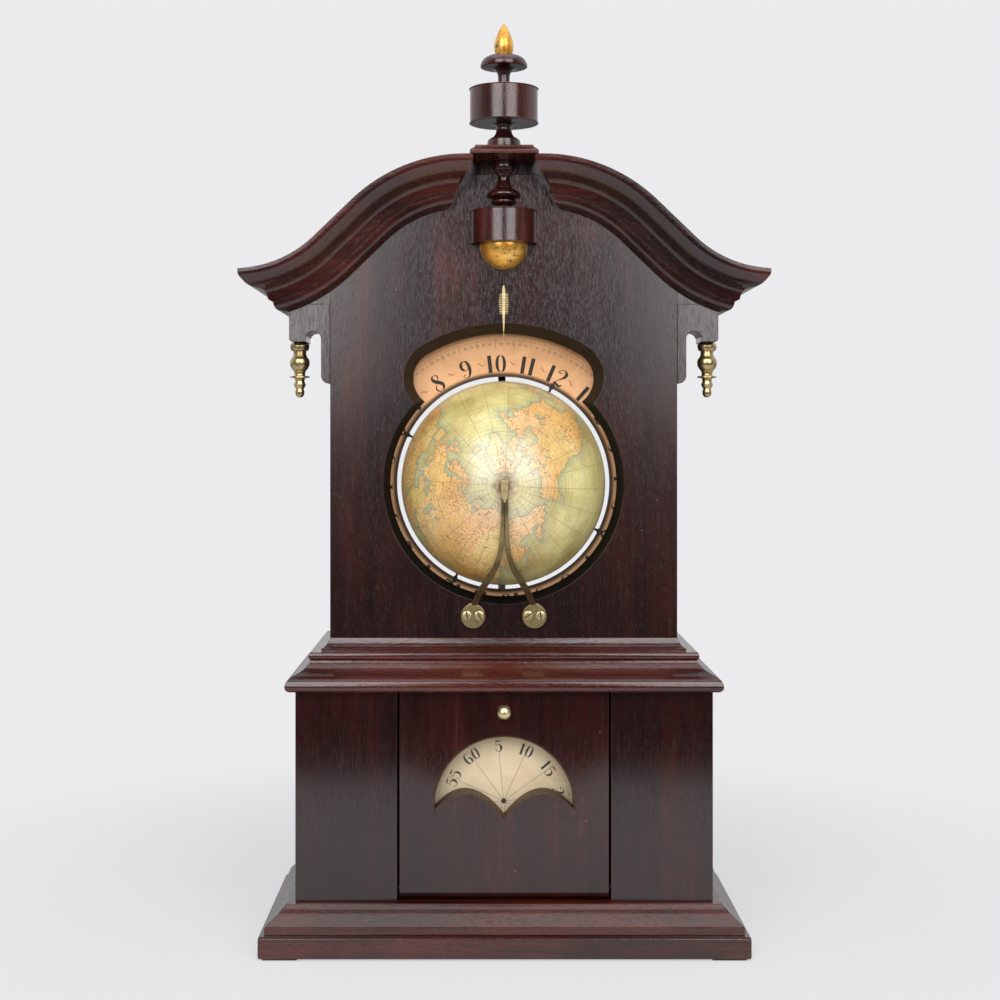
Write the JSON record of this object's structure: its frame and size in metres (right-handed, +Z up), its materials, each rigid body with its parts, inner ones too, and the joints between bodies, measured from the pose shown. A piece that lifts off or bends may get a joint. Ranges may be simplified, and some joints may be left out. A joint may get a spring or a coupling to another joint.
{
  "type": "globe clock",
  "caption": "Dark wood shelf clock with serpentine pediment, turned finial and drops, a turning globe with hour ring, and a minute disc behind a drop-front door.",
  "frame": {"origin": "on the floor under the pads, midway between the front of the globe fork and the back of the case", "axes": "+Z up, +X to the right seen from the front, the front faces -Y"},
  "size_m": [0.3896, 0.1778, 0.6859],
  "materials": {
    "case_wood": "dark red-brown stain under aged semi-gloss varnish",
    "inner_wood": "plain unvarnished softwood, darkened",
    "brass": "aged lacquered brass",
    "gilding": "worn gilding on turned wood",
    "dark_iron": "blackened iron",
    "pad_leather": "dark pressed leather",
    "globe_paper": "printed paper gores under yellowed varnish",
    "hour_paper": "browned printed paper",
    "minute_paper": "cream printed paper",
    "pane": "clear old sheet glass"
  },
  "bodies": {
    "case": {"slab": "case_wood", "base_moulding_front": "case_wood", "base_moulding_right": "case_wood", "base_moulding_left": "case_wood", "stile_right": "case_wood", "stile_left": "case_wood", "lower_side_right": "case_wood", "lower_side_left": "case_wood", "waist_moulding_front": "case_wood", "waist_moulding_right": "case_wood", "waist_moulding_left": "case_wood", "front_panel": "case_wood", "upper_side_right": "case_wood", "upper_side_left": "case_wood", "roof": "case_wood", "ear_right": "case_wood", "ear_left": "case_wood", "cornice_front_right": "case_wood", "cornice_front_left": "case_wood", "cornice_side_right": "case_wood", "cornice_side_left": "case_wood", "cap": "case_wood", "finial": "case_wood", "pendant": "case_wood", "lower_back": "inner_wood", "base_back_rail": "inner_wood", "deck": "inner_wood", "back_rail_lower": "inner_wood", "back_rail_upper": "inner_wood", "seat_board": "inner_wood", "drop_right": "brass", "drop_left": "brass", "shaft_foot": "brass", "globe_fork": "brass", "hour_pointer": "brass", "front_plate": "brass", "back_plate": "brass", "escapement_drum": "brass", "finial_flame": "gilding", "pendant_ball": "gilding", "pad_front_left": "dark_iron", "pad_front_right": "dark_iron", "pad_rear_left": "dark_iron", "pad_rear_right": "dark_iron", "door_pin_right": "dark_iron", "door_pin_left": "dark_iron", "rear_strap": "dark_iron"},
    "door": {"door_panel": "case_wood", "door_glass": "pane", "door_knob": "brass"},
    "minute": {"minute_arbor": "brass", "minute_disc": "minute_paper"},
    "shaft": {"drive_shaft": "brass"},
    "barrel": {"spring_barrel": "brass"},
    "intermediate": {"intermediate_wheel": "brass"},
    "third": {"third_arbor": "brass"},
    "globe": {"globe": "globe_paper", "hour_ring": "hour_paper", "globe_arbor": "brass"}
  },
  "joints": [
    {"name": "door_hinge", "type": "hinge", "parent": "case", "child": "door", "pos_m": [0, -0.04713, 0.0448], "axis": [1, 0, 0], "range_deg": [0, 90]},
    {"name": "minute_turn", "type": "hinge", "parent": "case", "child": "minute", "pos_m": [0, 0, 0.106], "axis": [0, -1, 0], "continuous": true},
    {"name": "shaft_turn", "type": "hinge", "parent": "case", "child": "shaft", "pos_m": [0, 0.06663, 0.15], "axis": [0, 0, 1], "continuous": true},
    {"name": "globe_turn", "type": "hinge", "parent": "case", "child": "globe", "pos_m": [0, -0.00588, 0.343], "axis": [0, -1, 0], "continuous": true},
    {"name": "intermediate_turn", "type": "hinge", "parent": "case", "child": "intermediate", "pos_m": [-0.0104, 0, 0.07743], "axis": [0, -1, 0], "continuous": true},
    {"name": "barrel_turn", "type": "hinge", "parent": "case", "child": "barrel", "pos_m": [-0.03976, 0, 0.06374], "axis": [0, -1, 0], "continuous": true},
    {"name": "third_turn", "type": "hinge", "parent": "case", "child": "third", "pos_m": [0.0193, 0, 0.1222], "axis": [0, -1, 0], "continuous": true}
  ],
  "couplings": [
    {"joint": "shaft_turn", "follows": "minute_turn", "ratio": -0.33333},
    {"joint": "globe_turn", "follows": "minute_turn", "ratio": 0.041667},
    {"joint": "intermediate_turn", "follows": "minute_turn", "ratio": -0.14286},
    {"joint": "barrel_turn", "follows": "minute_turn", "ratio": 0.017857},
    {"joint": "third_turn", "follows": "minute_turn", "ratio": -6}
  ]
}
